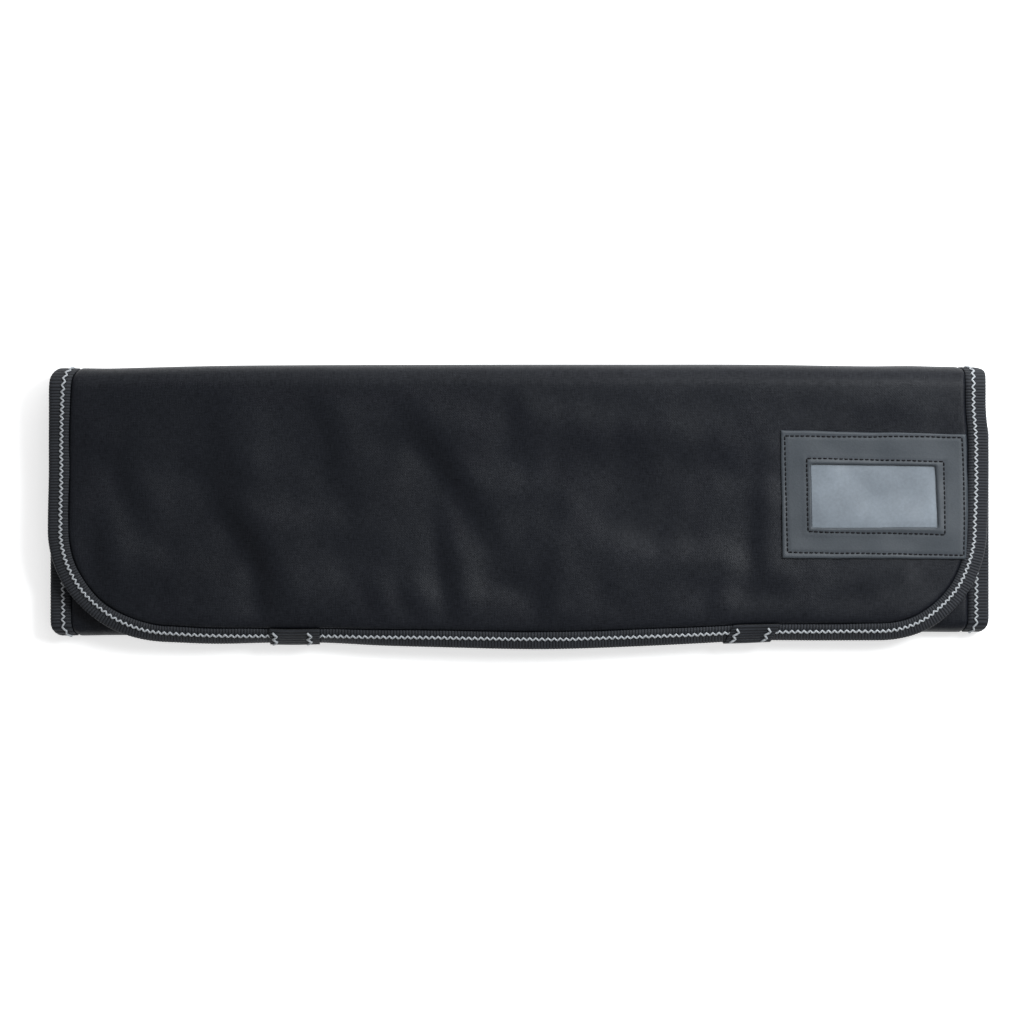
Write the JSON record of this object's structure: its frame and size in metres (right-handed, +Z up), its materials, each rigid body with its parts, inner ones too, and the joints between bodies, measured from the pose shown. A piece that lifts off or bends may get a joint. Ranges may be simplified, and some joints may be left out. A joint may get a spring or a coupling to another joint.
{
  "type": "chef knife roll",
  "caption": "Folded padded cloth knife roll with a round-cornered flap, tape-bound edges and a card holder with a clear window.",
  "frame": {"origin": "on the surface that the roll lies on, under the middle of its outline", "axes": "+X along the roll, towards the end that carries the card holder; +Y across the roll, from the flap's hem to the top fold; +Z up, out of the flap's face"},
  "size_m": [0.4856, 0.1464, 0.0228],
  "materials": {
    "cloth": "matt black woven cloth over thin padding",
    "tape": "ribbed black binding tape",
    "leatherette": "smooth grey-black leatherette, fine grain",
    "clear_vinyl": "glossy clear vinyl film, slightly cloudy"
  },
  "bodies": {
    "root": {"cover": "cloth", "edge_binding": "tape", "hem_tab_left": "tape", "hem_tab_right": "tape", "id_frame": "leatherette", "id_window": "clear_vinyl"}
  },
  "joints": []
}
